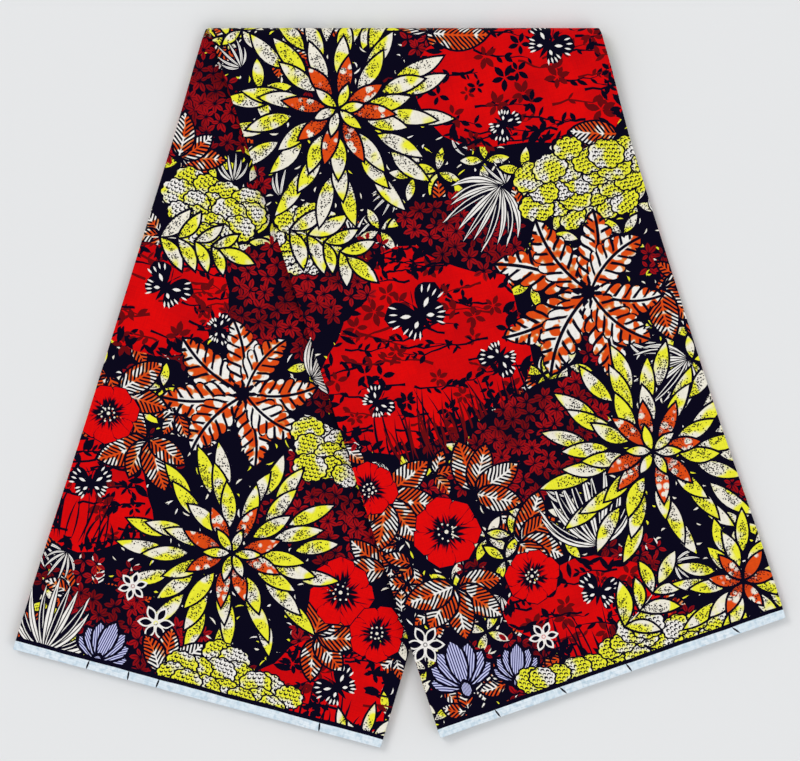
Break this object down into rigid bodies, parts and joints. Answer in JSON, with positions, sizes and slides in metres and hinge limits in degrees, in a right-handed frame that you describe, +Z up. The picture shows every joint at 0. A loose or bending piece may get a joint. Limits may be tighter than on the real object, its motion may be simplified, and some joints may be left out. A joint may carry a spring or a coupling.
{
  "type": "folded wax print fabric",
  "caption": "Printed cotton cloth folded into a flat strip and then once across on a slant, so that its two halves fan out; it lies flat.",
  "frame": {"origin": "middle of the footprint, on the surface that the cloth lies on", "axes": "+Z up from that surface; +Y towards the crosswise fold; +X to the right, towards the half that lies on top"},
  "size_m": [0.657, 0.6118, 0.0164],
  "materials": {
    "printed_cotton": "crisp plain-woven cotton with a wax print in red, near-black navy, yellow, orange and white",
    "folded_edges": "folded edges and selvedges of the same cotton"
  },
  "bodies": {
    "root": {"outer_ply": "printed_cotton", "hidden_plies": "folded_edges", "inner_ply": "printed_cotton"}
  },
  "joints": []
}
